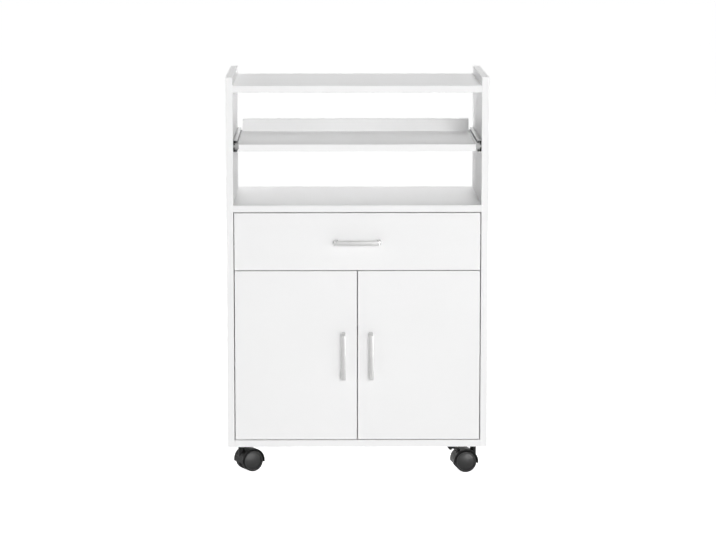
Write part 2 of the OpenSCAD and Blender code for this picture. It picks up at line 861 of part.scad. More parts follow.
// The arm hooks round the pin inside the cup, rises out of it and is cranked back to its plate
module hinge_arm() {
    difference() {
        translate([0, 0, -arm_width / 2]) linear_extrude(height = arm_width) union() {
            translate([pin_inset, pin_depth]) circle(r = barrel_radius);
            translate([pin_inset, pin_depth - barrel_radius])
                square([riser_end - pin_inset, 2 * barrel_radius]);
            translate([riser_start, pin_depth - barrel_radius])
                square([riser_end - riser_start, crank_front + crank_thickness - pin_depth + barrel_radius]);
            translate([arm_low, crank_front]) square([riser_end - arm_low, crank_thickness]);
            translate([arm_low, crank_front]) square([hinge_arm_top - arm_low, hinge_arm_end - crank_front]);
        }
        translate([pin_inset, pin_depth, -arm_width])
            cylinder(d = hinge_pin + 2 * running_fit, h = 2 * arm_width);
        translate([hinge_plate_thickness - overcut, plate_screw_y, 0]) rod_x(screw_shank, hinge_arm_top);
    }
}
module hinge_plate() {
    difference() {
        block([0, plate_start, -plate_half], [hinge_plate_thickness, hinge_arm_end, plate_half]);
        for (row = [-1, 1]) translate([-overcut, plate_screw_y, row * plate_screw_z])
            rod_x(screw_shank + 2 * snug_fit, hinge_plate_thickness + 2 * overcut);
    }
}
module hinge_arms() {
    color(bright_steel) from_front() for (side = [-1, 1]) at_hinges(side) {
        hinge_arm();
        hinge_plate();
    }
}

// Casters: side and end of the cart, and the direction that the wheels trail in
front_left = [-1, -1, 28];
front_right = [1, -1, 189.5];
rear_left = [-1, 1, -20];
rear_right = [1, 1, 205];
module at_caster(which) {
    y = which[1] < 0 ? caster_end : cart_depth - caster_end;
    from_front() translate([which[0] * caster_x, y, 0]) rotate([0, 0, which[2]]) children();
}
module at_casters() {
    for (which = [front_left, front_right, rear_left, rear_right]) at_caster(which) children();
}
// Extrudes a side outline, drawn from the axle, over a width along the axle
module across(start, end) {
    translate([caster_trail, end, wheel_radius]) rotate([90, 0, 0])
        linear_extrude(height = end - start) children();
}
// The same on both sides of the web, from a distance off its middle
module both_hands(start, end) {
    across(start, end) children();
    across(-end, -start) children();
}
module caster_hood(which, braked) {
    color(dark_plastic) at_caster(which) difference() {
        union() {
            across(-hood_width / 2, hood_width / 2) difference() {
                circle(r = guard_outside);
                translate([-2 * guard_outside, -2 * guard_outside - guard_drop])
                    square([4 * guard_outside, 2 * guard_outside]);
            }
            across(-web_width / 2, web_width / 2) circle(r = axle_diameter / 2 + axle_boss_wall);
            translate([0, 0, neck_low]) cylinder(d = neck_diameter, h = neck_top - neck_low);
            if (braked) across(-lever_ear_half, lever_ear_half) lever_ear();
        }
        both_hands(web_width / 2, hood_width) circle(r = guard_inside);
        across(-web_width, web_width) circle(d = axle_diameter + 2 * snug_fit);
        translate([0, 0, swivel_pin_low - blind_end])
            cylinder(d = swivel_pin + 2 * running_fit, h = caster_height);
        if (braked) {
            both_hands(web_width / 2, lever_half + lever_play) nose_slot();
            across(-lever_half, lever_half) translate([lever_out, lever_up])
                circle(r = lever_pin_radius + running_fit);
            both_hands(lever_ear_half, lever_half + lever_play)
                translate([lever_out, lever_up]) circle(r = lever_barrel + moving_gap);
        }
    }
}
module lever_ear() {
    translate([lever_out, lever_up]) circle(r = lever_barrel);
    rotate(lever_angle) translate([guard_outside - overcut, -lever_barrel])
        square([lever_distance - guard_outside + overcut, 2 * lever_barrel]);
}
module nose_slot() {
    rotate(lever_angle - slot_turn) translate([guard_inside - overcut, -slot_half])
        square([guard_wall + 2 * overcut, 2 * slot_half]);
}
module brake_lever(which) {
    color(dark_plastic) at_caster(which) {
        difference() {
            union() {
                across(-lever_half, lever_half) lever_blade_outline();
                both_hands(nose_start, lever_half) translate([lever_out, lever_up]) {
                    circle(r = lever_barrel);
                    rotate(lever_angle + 180 + brake_travel) translate([0, -nose_half])
                        square([nose_length, 2 * nose_half]);
                }
            }
            across(-lever_ear_half - moving_gap, lever_ear_half + moving_gap)
                translate([lever_out, lever_up]) circle(r = lever_barrel + moving_gap);
            across(-nose_start, nose_start) rotate(lever_angle) translate([guard_inside, -slot_half])
                square([guard_wall + moving_gap, 2 * slot_half]);
        }
        across(-lever_half, lever_half) translate([lever_out, lever_up]) circle(r = lever_pin_radius);
    }
}
module lever_blade_outline() {
    translate([lever_out, lever_up]) rotate(lever_rise) {
        translate([0, lever_barrel - lever_blade]) square([lever_reach, lever_blade]);
        translate([lever_reach - toe_back, lever_barrel - lever_blade - toe_step])
            square([toe_length, toe_step + lever_blade / 2]);
        translate([lever_reach, lever_barrel - lever_blade / 2]) circle(d = lever_blade);
    }
}
module caster_axle(which) {
    color(bright_steel) at_caster(which) across(-axle_half, axle_half) circle(d = axle_diameter);
}
// A wheel, turned round the axle: the bore is blind, and a groove sets the tread off from the disc
module caster_wheel(which, hand) {
    color(grey_plastic) at_caster(which) translate([caster_trail, hand * wheel_start, wheel_radius])
        rotate([-90 * hand, 0, 0]) rotate_extrude() polygon([
            [axle_diameter / 2 + running_fit, 0], [wheel_radius - tread_ease, 0], [wheel_radius, tread_ease],
            [wheel_radius, wheel_width - rim_ease], [wheel_radius - rim_ease, wheel_width],
            [disc_radius + disc_groove, wheel_width], [disc_radius, wheel_width - disc_groove],
            [disc_radius - disc_groove, wheel_width - disc_groove],
            [disc_radius - 2 * disc_groove, wheel_width],
            [0, wheel_width], [0, bore_depth], [axle_diameter / 2 + running_fit, bore_depth]
        ]);
}
// Steel stems with a collar and the swivel pin, screwed into inserts in the bottom panel
module caster_stems() {
    at_casters() {
        color(bright_steel) {
            translate([0, 0, swivel_pin_low])
                cylinder(d = swivel_pin, h = caster_height - collar_height - swivel_pin_low);
            translate([0, 0, caster_height - collar_height]) cylinder(d = neck_diameter, h = collar_height);
            translate([0, 0, caster_height]) cylinder(d = stem_diameter, h = stem_length);
        }
        color(satin_metal) translate([0, 0, caster_height + seat_gap]) difference() {
            cylinder(d = insert_diameter, h = insert_length);
            translate([0, 0, -overcut])
                cylinder(d = stem_diameter + 2 * snug_fit, h = stem_length + overcut + blind_end);
        }
    }
}
module front_left_caster_hood() {
    caster_hood(front_left, false);
}
module front_left_caster_axle() {
    caster_axle(front_left);
}
module front_left_caster_inner_wheel() {
    caster_wheel(front_left, 1);
}
module front_left_caster_outer_wheel() {
    caster_wheel(front_left, -1);
}
module front_right_caster_hood() {
    caster_hood(front_right, true);
}
module front_right_caster_axle() {
    caster_axle(front_right);
}
module front_right_caster_inner_wheel() {
    caster_wheel(front_right, -1);
}
module front_right_caster_outer_wheel() {
    caster_wheel(front_right, 1);
}
module front_right_brake_lever() {
    brake_lever(front_right);
}
module rear_left_caster_hood() {
    caster_hood(rear_left, true);
}
module rear_left_caster_axle() {
    caster_axle(rear_left);
}
module rear_left_caster_inner_wheel() {
    caster_wheel(rear_left, 1);
}
module rear_left_caster_outer_wheel() {
    caster_wheel(rear_left, -1);
}
module rear_left_brake_lever() {
    brake_lever(rear_left);
}
module rear_right_caster_hood() {
    caster_hood(rear_right, false);
}
module rear_right_caster_axle() {
    caster_axle(rear_right);
}
module rear_right_caster_inner_wheel() {
    caster_wheel(rear_right, -1);
}
module rear_right_caster_outer_wheel() {
    caster_wheel(rear_right, 1);
}

left_side_panel();
right_side_panel();
top_shelf();
cabinet_top();
bottom_panel();
back_panel();
inner_shelf();
shelf_pins();
cam_fittings();
dowels();
carcass_screws();
pullout_left_outer_slide();
pullout_right_outer_slide();
drawer_left_outer_slide();
drawer_right_outer_slide();
slide_end_guides();
hinge_arms();
caster_stems();
pullout_shelf();
pullout_lip();
pullout_left_inner_slide();
pullout_right_inner_slide();
pullout_fasteners();
pullout_ball_cages();
drawer_front();
drawer_left_side();
drawer_right_side();
drawer_back();
drawer_bottom();
drawer_handle();
drawer_left_inner_slide();
drawer_right_inner_slide();
drawer_fasteners();
drawer_ball_cages();
left_door();
left_door_handle();
left_hinge_cups();
left_door_screws();
right_door();
right_door_handle();
right_hinge_cups();
right_door_screws();
front_left_caster_hood();
front_left_caster_axle();
front_left_caster_inner_wheel();
front_left_caster_outer_wheel();
front_right_caster_hood();
front_right_caster_axle();
front_right_caster_inner_wheel();
front_right_caster_outer_wheel();
front_right_brake_lever();
rear_left_caster_hood();
rear_left_caster_axle();
rear_left_caster_inner_wheel();
rear_left_caster_outer_wheel();
rear_left_brake_lever();
rear_right_caster_hood();
rear_right_caster_axle();
rear_right_caster_inner_wheel();
rear_right_caster_outer_wheel();
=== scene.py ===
import bmesh
import bpy
import math
from mathutils import Matrix, Vector


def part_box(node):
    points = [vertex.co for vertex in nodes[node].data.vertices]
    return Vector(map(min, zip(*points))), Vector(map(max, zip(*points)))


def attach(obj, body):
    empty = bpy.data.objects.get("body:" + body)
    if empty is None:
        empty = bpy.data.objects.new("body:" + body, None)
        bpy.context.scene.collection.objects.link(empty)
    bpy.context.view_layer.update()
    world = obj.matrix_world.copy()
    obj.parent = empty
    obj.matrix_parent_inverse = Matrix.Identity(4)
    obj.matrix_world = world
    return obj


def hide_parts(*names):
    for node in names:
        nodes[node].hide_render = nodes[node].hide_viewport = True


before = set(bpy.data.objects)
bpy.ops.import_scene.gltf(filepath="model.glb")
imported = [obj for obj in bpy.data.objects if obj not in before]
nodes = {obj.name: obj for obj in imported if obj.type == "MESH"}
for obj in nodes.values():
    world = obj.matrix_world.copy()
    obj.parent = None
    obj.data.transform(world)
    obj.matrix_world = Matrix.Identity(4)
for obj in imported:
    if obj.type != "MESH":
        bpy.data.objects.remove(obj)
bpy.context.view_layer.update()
print("frame loaded:", len(nodes), "nodes")


# helpers for modelling; sizes of pieces are in millimetres, those of lamps, floor and camera in metres

facing = 0.9  # a face looks along an axis when its normal reaches this far along it
play = 0.01  # two places closer than this are the same


def mm(*values):
    return tuple(v / 1000 for v in values)


def near(value, target, within=play):
    return abs(value - target) < within


def bothSides(start, end):
    # the two stretches from start to end on either side of the middle, each from its low to its high end
    return [sorted((side * start, side * end)) for side in (-1, 1)]


def clearSelection():
    if bpy.context.object and bpy.context.object.mode != "OBJECT":
        bpy.ops.object.mode_set(mode="OBJECT")
    bpy.ops.object.select_all(action="DESELECT")


def makeActive(piece):
    clearSelection()
    piece.select_set(True)
    bpy.context.view_layer.objects.active = piece


def openMesh(piece):
    makeActive(piece)
    bpy.ops.object.mode_set(mode="EDIT")
    bpy.ops.mesh.select_all(action="DESELECT")


def closeMesh():
    bpy.ops.object.mode_set(mode="OBJECT")


def pickFaces(test):
    # selects the faces whose middle (in mm) and normal pass the test
    bpy.ops.mesh.select_mode(type="FACE")
    bpy.ops.mesh.select_all(action="DESELECT")
    mesh = bmesh.from_edit_mesh(bpy.context.object.data)
    for face in mesh.faces:
        if test(face.calc_center_median() * 1000, face.normal):
            face.select_set(True)
    bmesh.update_edit_mesh(bpy.context.object.data)


def pickEdges(test):
    # selects the edges whose middle and length (in mm) and direction pass the test
    bpy.ops.mesh.select_mode(type="EDGE")
    bpy.ops.mesh.select_all(action="DESELECT")
    mesh = bmesh.from_edit_mesh(bpy.context.object.data)
    for edge in mesh.edges:
        run = (edge.verts[1].co - edge.verts[0].co) * 1000
        if test((edge.verts[0].co + edge.verts[1].co) * 500, run):
            edge.select_set(True)
    bmesh.update_edit_mesh(bpy.context.object.data)


def cutAt(point, normal, trim=False):
    # cuts the whole mesh with a plane; trim throws away what the normal points at, and closes the cut
    bpy.ops.mesh.select_all(action="SELECT")
    bpy.ops.mesh.bisect(plane_co=mm(*point), plane_no=normal, use_fill=trim, clear_outer=trim)


def extrude(*move):
    bpy.ops.mesh.extrude_region_move(TRANSFORM_OT_translate={"value": mm(*move)})


def inset(width, depth=0.0):
    bpy.ops.mesh.inset(thickness=width / 1000, depth=depth / 1000, use_individual=True)


def roundOff(radius, segments):
    # rounds the selected edges
    bpy.ops.mesh.bevel(offset=radius / 1000, segments=segments, profile=0.5, affect="EDGES")


def joinFlats():
    # joins faces that lie in one plane, so that a bevel has room
    bpy.ops.mesh.select_all(action="SELECT")
    bpy.ops.mesh.dissolve_limited(angle_limit=math.radians(0.5))


def modify(piece, kind, **settings):
    makeActive(piece)
    modifier = piece.modifiers.new(kind.lower(), kind)
    for key, value in settings.items():
        setattr(modifier, key, value)
    bpy.ops.object.modifier_apply(modifier=modifier.name)


def roundAll(piece, width, segments, angle):
    # eases every edge sharper than the angle
    modify(piece, "BEVEL", width=width / 1000, segments=segments, limit_method="ANGLE",
           angle_limit=math.radians(angle), use_clamp_overlap=True)


def unite(piece, other, how="UNION"):
    modify(piece, "BOOLEAN", object=other, operation=how, solver="EXACT")
    bpy.data.objects.remove(other)


def cutAway(piece, other):
    unite(piece, other, "DIFFERENCE")


def finishShape(piece, angle, *names):
    # merges doubles, turns faces outwards, shades smooth, and gives finishes in the order of the slots
    openMesh(piece)
    bpy.ops.mesh.select_all(action="SELECT")
    bpy.ops.mesh.remove_doubles(threshold=1e-6)
    bpy.ops.mesh.normals_make_consistent(inside=False)
    closeMesh()
    makeActive(piece)
    bpy.ops.object.shade_smooth_by_angle(angle=math.radians(angle))
    piece.data.materials.clear()
    for name in names:
        piece.data.materials.append(finishes[name])


def keepGrain(piece):
    # remembers where each point was drawn, so that a finish follows the piece wherever it is placed
    grain = piece.data.attributes.new("grain", "FLOAT_VECTOR", "POINT")
    grain.data.foreach_set("vector", [c for v in piece.data.vertices for c in v.co])


def copyOf(piece):
    twin = piece.copy()
    twin.data = piece.data.copy()
    bpy.context.scene.collection.objects.link(twin)
    return twin


def fit(piece, name, body, replaced, matrix):
    # brings a drawn piece to its place on the cart, with its object at the origin
    piece.name = piece.data.name = name
    piece.data.transform(matrix)
    if matrix.determinant() < 0:
        piece.data.flip_normals()
    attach(piece, body)
    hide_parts(replaced)


def addBox(low, high):
    clearSelection()
    bpy.ops.mesh.primitive_cube_add(size=1, location=mm(*[(h + l) / 2 for l, h in zip(low, high)]))
    box = bpy.context.object
    box.scale = mm(*[h - l for l, h in zip(low, high)])
    bpy.ops.object.transform_apply(location=True, rotation=True, scale=True)
    return box


def addCone(lowRadius, highRadius, start, end, axis, middle, points):
    # a round body along an axis; middle holds the other two coordinates in order
    clearSelection()
    turn = {"X": (0, math.pi / 2, 0), "Y": (-math.pi / 2, 0, 0), "Z": (0, 0, 0)}[axis]
    spot = list(middle)
    spot.insert("XYZ".index(axis), (start + end) / 2)
    bpy.ops.mesh.primitive_cone_add(vertices=points, radius1=lowRadius / 1000, radius2=highRadius / 1000,
                                    depth=(end - start) / 1000, location=mm(*spot), rotation=turn)
    bpy.ops.object.transform_apply(location=True, rotation=True, scale=True)
    return bpy.context.object


def addRod(radius, start, end, axis, middle, points):
    return addCone(radius, radius, start, end, axis, middle, points)


def tilt(piece, degrees, x, z):
    # turns a piece in the XZ plane round a point
    middle = Vector(mm(x, 0, z))
    makeActive(piece)
    piece.matrix_world = (Matrix.Translation(middle) @ Matrix.Rotation(math.radians(-degrees), 4, "Y")
                          @ Matrix.Translation(-middle))
    bpy.ops.object.transform_apply(location=True, rotation=True, scale=True)
    return piece


# finishes

def newFinish(name):
    finish = bpy.data.materials.new(name)
    finish.use_nodes = True
    tree = finish.node_tree
    return finish, tree, tree.nodes["Principled BSDF"]


def addNode(tree, kind, inputs=None, **settings):
    node = tree.nodes.new(kind)
    for key, value in settings.items():
        setattr(node, key, value)
    for key, value in (inputs or {}).items():
        if isinstance(value, bpy.types.NodeSocket):
            tree.links.new(value, node.inputs[key])
        else:
            node.inputs[key].default_value = value
    return node


def whereOn(tree, stretch=(1, 1, 1), asDrawn=False):
    # the point on the cart, or the point as drawn for pieces that keep their grain
    if asDrawn:
        source = addNode(tree, "ShaderNodeAttribute", attribute_name="grain").outputs["Vector"]
    else:
        source = addNode(tree, "ShaderNodeTexCoord").outputs["Object"]
    return addNode(tree, "ShaderNodeMapping", {"Vector": source, "Scale": stretch}).outputs["Vector"]


def speckle(tree, where, scale, detail, rough=0.5):
    return addNode(tree, "ShaderNodeTexNoise", {"Vector": where, "Scale": scale, "Detail": detail,
                                                "Roughness": rough}).outputs["Fac"]


def spread(tree, value, low, high, fromLow=0.3, fromHigh=0.7):
    return addNode(tree, "ShaderNodeMapRange", {"Value": value, "From Min": fromLow, "From Max": fromHigh,
                                                "To Min": low, "To Max": high}).outputs["Result"]


def tint(tree, shader, amount, first, second):
    # mixes the base colour from two tones; a mix node's colours come after its numbers
    node = addNode(tree, "ShaderNodeMix", {"Factor": amount}, data_type="RGBA")
    node.inputs[6].default_value, node.inputs[7].default_value = (*first, 1), (*second, 1)
    tree.links.new(node.outputs[2], shader.inputs["Base Color"])


def dull(tree, shader, pattern, low, high):
    # uneven gloss, between two roughnesses
    tree.links.new(spread(tree, pattern, low, high), shader.inputs["Roughness"])


def texture(tree, shader, height, strength, distance=0.0002):
    bump = addNode(tree, "ShaderNodeBump", {"Height": height, "Strength": strength, "Distance": distance})
    tree.links.new(bump.outputs["Normal"], shader.inputs["Normal"])


board = {"tones": 3.0, "gloss": 60, "pebble": 900, "depth": 0.12, "shine": 0.22}
metal = {"lineDetail": 4, "lineRough": 0.6, "patches": 35, "depth": 0.1}
plastic = {"flow": 55, "gloss": 160}
wood = {"stretch": (30, 900, 900), "gloss": (0.5, 0.65), "depth": 0.2, "reach": 0.0003}


def coatedBoard(name, light, dark, rough):
    # melamine paper on board: nearly even white, a fine pebble and slightly uneven gloss
    finish, tree, shader = newFinish(name)
    where = whereOn(tree)
    tint(tree, shader, spread(tree, speckle(tree, where, board["tones"], 3), 0, 1), light, dark)
    dull(tree, shader, speckle(tree, where, board["gloss"], 3), rough - 0.04, rough + 0.05)
    texture(tree, shader, speckle(tree, where, board["pebble"], 2), board["depth"])
    shader.inputs["Specular IOR Level"].default_value = board["shine"]
    return finish


def drawnMetal(name, light, dark, rough, stretch, asDrawn=False):
    # drawn or rolled metal: fine lines along the piece, wider patches of slightly different tone
    finish, tree, shader = newFinish(name)
    lines = speckle(tree, whereOn(tree, stretch, asDrawn), 1.0, metal["lineDetail"], metal["lineRough"])
    patches = speckle(tree, whereOn(tree, (1, 1, 1), asDrawn), metal["patches"], 2)
    tint(tree, shader, spread(tree, patches, 0, 1), light, dark)
    dull(tree, shader, lines, rough - 0.07, rough + 0.09)
    texture(tree, shader, lines, metal["depth"])
    shader.inputs["Metallic"].default_value = 1.0
    return finish


def mouldedPlastic(name, light, dark, rough, gloss, grainSize, depth, asDrawn=False):
    # moulded nylon: even colour with slight flow marks and a fine texture from the mould
    finish, tree, shader = newFinish(name)
    where = whereOn(tree, (1, 1, 1), asDrawn)
    tint(tree, shader, spread(tree, speckle(tree, where, plastic["flow"], 3), 0, 1), light, dark)
    dull(tree, shader, speckle(tree, where, plastic["gloss"], 2), rough - 0.05, rough + 0.07)
    texture(tree, shader, speckle(tree, where, grainSize, 2), depth)
    shader.inputs["Specular IOR Level"].default_value = gloss
    return finish


def plainWood(name, light, dark):
    # beech: fine rings drawn out along the grain
    finish, tree, shader = newFinish(name)
    rings = speckle(tree, whereOn(tree, wood["stretch"]), 1.0, 4, 0.6)
    tint(tree, shader, spread(tree, rings, 0, 1), light, dark)
    dull(tree, shader, rings, *wood["gloss"])
    texture(tree, shader, rings, wood["depth"], wood["reach"])
    return finish


def grey(light, warm=0.0):
    return (light * (1 + warm), light, light * (1 - warm))


finishes = {
    "board": coatedBoard("coatedBoard", grey(0.94), grey(0.922), 0.42),
    "hardboard": coatedBoard("coatedHardboard", grey(0.84), grey(0.80), 0.55),
    "nickel": drawnMetal("satinNickel", grey(0.76, 0.004), grey(0.70, 0.004), 0.35, (8, 900, 900), True),
    "zinc": drawnMetal("zincSteel", grey(0.66, -0.004), grey(0.54, -0.006), 0.42, (700, 12, 700)),
    # painted shade: a dark grey for the flange outsides of the inner members, standing in for the shade of
    # the gap between the members
    "raceShade": drawnMetal("paintedShadeRace", grey(0.16), grey(0.10), 0.42, (700, 12, 700)),
    # sheared steel, duller than the rolled faces, and painted shade: a darker grey on the members' ends and
    # front tabs
    "cutEdgeAndShade": drawnMetal("shearedSteelAndShade", grey(0.46), grey(0.36), 0.50, (500, 500, 500)),
    "screw": drawnMetal("screwSteel", grey(0.68), grey(0.55), 0.36, (400, 400, 400)),
    "nylon": mouldedPlastic("blackNylon", grey(0.008), grey(0.005), 0.34, 0.25, 1400, 0.10),
    "wheel": mouldedPlastic("wheelNylon", grey(0.022), grey(0.018), 0.33, 0.50, 1400, 0.03, True),
    "tread": mouldedPlastic("wheelTread", grey(0.012), grey(0.008), 0.50, 0.20, 900, 0.25, True),
    "beech": plainWood("plainBeech", (0.62, 0.43, 0.25), (0.48, 0.31, 0.17)),
}
print("finishes made:", len(finishes))


# handles: a bow of flat bar with bent ends and a crowned section

handle = {"length": 108, "foot": 10, "reach": 28, "bar": 7, "width": 10, "outerBend": 5, "innerBend": 2.5,
          "bendSteps": 8, "crown": 1.6, "crownSteps": 4, "ease": 0.5}


def drawHandle():
    half, wide = handle["length"] / 2, handle["width"] / 2
    inner = half - handle["foot"]
    back = handle["bar"] - handle["reach"]
    bow = addBox((-half, -handle["reach"], -wide), (half, back, wide))
    openMesh(bow)
    for side in (-1, 1):
        cutAt((side * inner, 0, 0), (1, 0, 0))
    pickFaces(lambda c, n: n.y > facing and abs(c.x) > inner)
    extrude(0, -back, 0)
    joinFlats()
    for x, y, radius in ((half, -handle["reach"], handle["outerBend"]), (inner, back, handle["innerBend"])):
        pickEdges(lambda c, run: abs(run.z) > wide and near(abs(c.x), x) and near(c.y, y))
        roundOff(radius, handle["bendSteps"])
    # the outer face is crowned, the inner one only eased
    pickEdges(lambda c, run: near(run.z, 0) and c.y < -play and near(abs(c.z), wide) and
              (c.y < back - play or abs(c.x) > inner + play))
    roundOff(handle["crown"], handle["crownSteps"])
    closeMesh()
    roundAll(bow, handle["ease"], 2, 60)
    finishShape(bow, 40, "nickel")
    keepGrain(bow)
    return bow


firstHandle = drawHandle()
for node, body, upright in (("drawer_handle", "drawer", False), ("left_door_handle", "left_door", True),
                            ("right_door_handle", "right_door", True)):
    low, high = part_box(node)
    spot = Matrix.Translation(((low.x + high.x) / 2, high.y, (low.z + high.z) / 2))
    turn = Matrix.Rotation(math.radians(90 if upright else 0), 4, "Y")
    fit(copyOf(firstHandle), node + "_bow", body, node, spot @ turn)
bpy.data.objects.remove(firstHandle)
print("handles made")


# casters: drawn with the swivel axis at zero, trailing along X, the axle across along Y

caster = {"trail": 21, "axleHeight": 25, "pockets": 5, "half": 22.3, "guardOut": 29, "guardIn": 26.5,
          "drop": 4, "neck": 7, "neckLow": 34, "neckTop": 61.7, "boss": 7, "pinBore": 3.56, "pinLow": 38,
          "pinTop": 70, "axleBore": 3.04, "axleHalf": 8, "edge": 0.8,
          "edgeSteps": 3}
wheel = {"radius": 25, "width": 17, "start": 5.3, "bore": 3.06, "boreDepth": 14.5, "ring": 20.9,
         "ringSlope": 0.3, "groove": 2.6, "grooveWidth": 0.8, "disc": 19.4, "dome": 2.4,
         "domeRings": (1, 0.93, 0.84, 0.73, 0.6, 0.45, 0.28, 0.1), "hub": 9, "hubSlope": 1.2, "hubDepth": 0.8,
         "tread": 22.6, "treadOuter": 2.2, "treadInner": 1.4, "ringEdge": 0.35, "discEdge": 0.5,
         "edgeSteps": 4}
brake = {"out": 17, "up": 28, "half": 10, "barrel": 3.4, "ear": 2.6, "earStart": 28, "gap": 0.3, "pin": 1.5,
         "reach": 22.5, "blade": 3.6, "rise": 6, "corner": 4, "cornerSteps": 5, "edge": 1.1, "edgeSteps": 3,
         "toeBack": 8, "toeLength": 5, "toeStep": 3, "nose": 2.2, "noseStart": 5.6, "noseLength": 7.1,
         "noseTurn": 18, "slotNear": 25.5, "slotFar": 30, "slotTurn": 3, "slotHalf": 6, "slotStart": 0.2,
         "slotPlay": 0.8}
corners = {"guard": 96, "neck": 48, "bore": 40, "pin": 24, "screw": 32}  # of the round bodies
places = {"front_left": (-270, -146, 28), "front_right": (270, -146, 189.5),
          "rear_left": (-270, 174, -20), "rear_right": (270, 174, 205)}
brakedCasters = ("front_right", "rear_left")
axle = (caster["trail"], caster["axleHeight"])
pivot = (axle[0] + brake["out"], axle[1] + brake["up"])
brakeAngle = math.degrees(math.atan2(brake["up"], brake["out"]))


def radialBox(inside, outside, halfHeight, low, high, angle):
    # a box that stands off the axle between two radii, at an angle, from low to high across
    x, z = axle
    return tilt(addBox((x + inside, low, z - halfHeight), (x + outside, high, z + halfHeight)), angle, x, z)


def addBrakeSeat(hood):
    # an ear for the lever's pin, slots for the noses that press on the wheels, and room for the barrel
    end = brake["half"] + brake["slotPlay"]
    ear = addRod(brake["barrel"], -brake["ear"], brake["ear"], "Y", pivot, corners["bore"])
    unite(ear, radialBox(brake["earStart"], math.hypot(brake["out"], brake["up"]), brake["barrel"],
                         -brake["ear"], brake["ear"], brakeAngle))
    unite(hood, ear)
    slots = bothSides(caster["pockets"] + brake["slotStart"], end)
    for slot, room in zip(slots, bothSides(brake["ear"], end)):
        cutAway(hood, radialBox(brake["slotNear"], brake["slotFar"], brake["slotHalf"], *slot,
                                brakeAngle - brake["slotTurn"]))
        cutAway(hood, addRod(brake["barrel"] + brake["gap"], *room, "Y", pivot, corners["bore"]))


def drawHood(braked):
    half, pockets, guardIn = caster["half"], caster["pockets"], caster["guardIn"]
    axleHalf = caster["axleHalf"]
    hood = addRod(caster["guardOut"], -half, half, "Y", axle, corners["guard"])
    openMesh(hood)
    pickFaces(lambda c, n: abs(n.y) > facing)
    inset(caster["guardOut"] - guardIn)
    for side in (-1, 1):  # each side is hollow down to the web
        pickFaces(lambda c, n: n.y * side > facing and near(c.x, axle[0], 1) and near(c.z, axle[1], 1))
        extrude(0, side * (pockets - half), 0)
    cutAt((0, 0, axle[1] - caster["drop"]), (0, 0, -1), True)
    closeMesh()
    unite(hood, addRod(caster["boss"], -pockets, pockets, "Y", axle, corners["neck"]))
    unite(hood, addRod(caster["neck"], caster["neckLow"], caster["neckTop"], "Z", (0, 0), corners["neck"]))
    for room in bothSides(pockets, half + 1):  # the neck keeps out of the wheels' room
        cutAway(hood, addRod(guardIn, *room, "Y", axle, corners["guard"]))
    if braked:
        addBrakeSeat(hood)
    roundAll(hood, caster["edge"], caster["edgeSteps"], 45)
    cutAway(hood, addRod(caster["pinBore"], caster["pinLow"], caster["pinTop"], "Z", (0, 0), corners["bore"]))
    cutAway(hood, addRod(caster["axleBore"], -axleHalf, axleHalf, "Y", axle, corners["bore"]))
    finishShape(hood, 35, "nylon")
    return hood


def drawWheel():
    # along Z from its inner face: a tread, a ring and a groove round a domed disc
    radius, width, ring, disc, dome = (wheel[key] for key in ("radius", "width", "ring", "disc", "dome"))
    body = addRod(radius, 0, width, "Z", (0, 0), corners["guard"])
    openMesh(body)
    pickFaces(lambda c, n: n.z > facing)
    inset(radius - ring)
    inset(wheel["ringSlope"], -wheel["groove"])
    inset(wheel["grooveWidth"])
    inset(ring - wheel["ringSlope"] - wheel["grooveWidth"] - disc, wheel["groove"] - dome)
    steps = [disc * share for share in wheel["domeRings"]]
    heights = [-dome * (r / disc) ** 2 for r in steps]
    for r, nextR, h, nextH in zip(steps, steps[1:], heights, heights[1:]):
        inset(r - nextR, nextH - h)
    pickFaces(lambda c, n: n.z < -facing)
    inset(radius - wheel["hub"])
    inset(wheel["hubSlope"], -wheel["hubDepth"])
    inset(wheel["hub"] - wheel["hubSlope"] - wheel["bore"])
    extrude(0, 0, wheel["boreDepth"] + wheel["hubDepth"])
    # the tread's corners are round, and the ring and the disc have narrow bright edges
    flats = math.cos(math.pi / corners["guard"])  # the middle of a ring's edge lies inside its corners
    for r, z, size in ((radius, width, wheel["treadOuter"]), (radius, 0, wheel["treadInner"]),
                       (ring, width, wheel["ringEdge"]), (disc, width - dome, wheel["discEdge"])):
        pickEdges(lambda c, run: near(run.z, 0) and near(c.z, z) and
                  near(math.hypot(c.x, c.y), r * flats, 0.03) and
                  abs(c.x * run.y - c.y * run.x) > 0.5)  # runs round, not outwards
        roundOff(size, wheel["edgeSteps"])
    closeMesh()
    finishShape(body, 30, "wheel", "tread")
    for face in body.data.polygons:
        if math.hypot(face.center.x, face.center.y) * 1000 > wheel["tread"]:
            face.material_index = 1
    keepGrain(body)
    return body


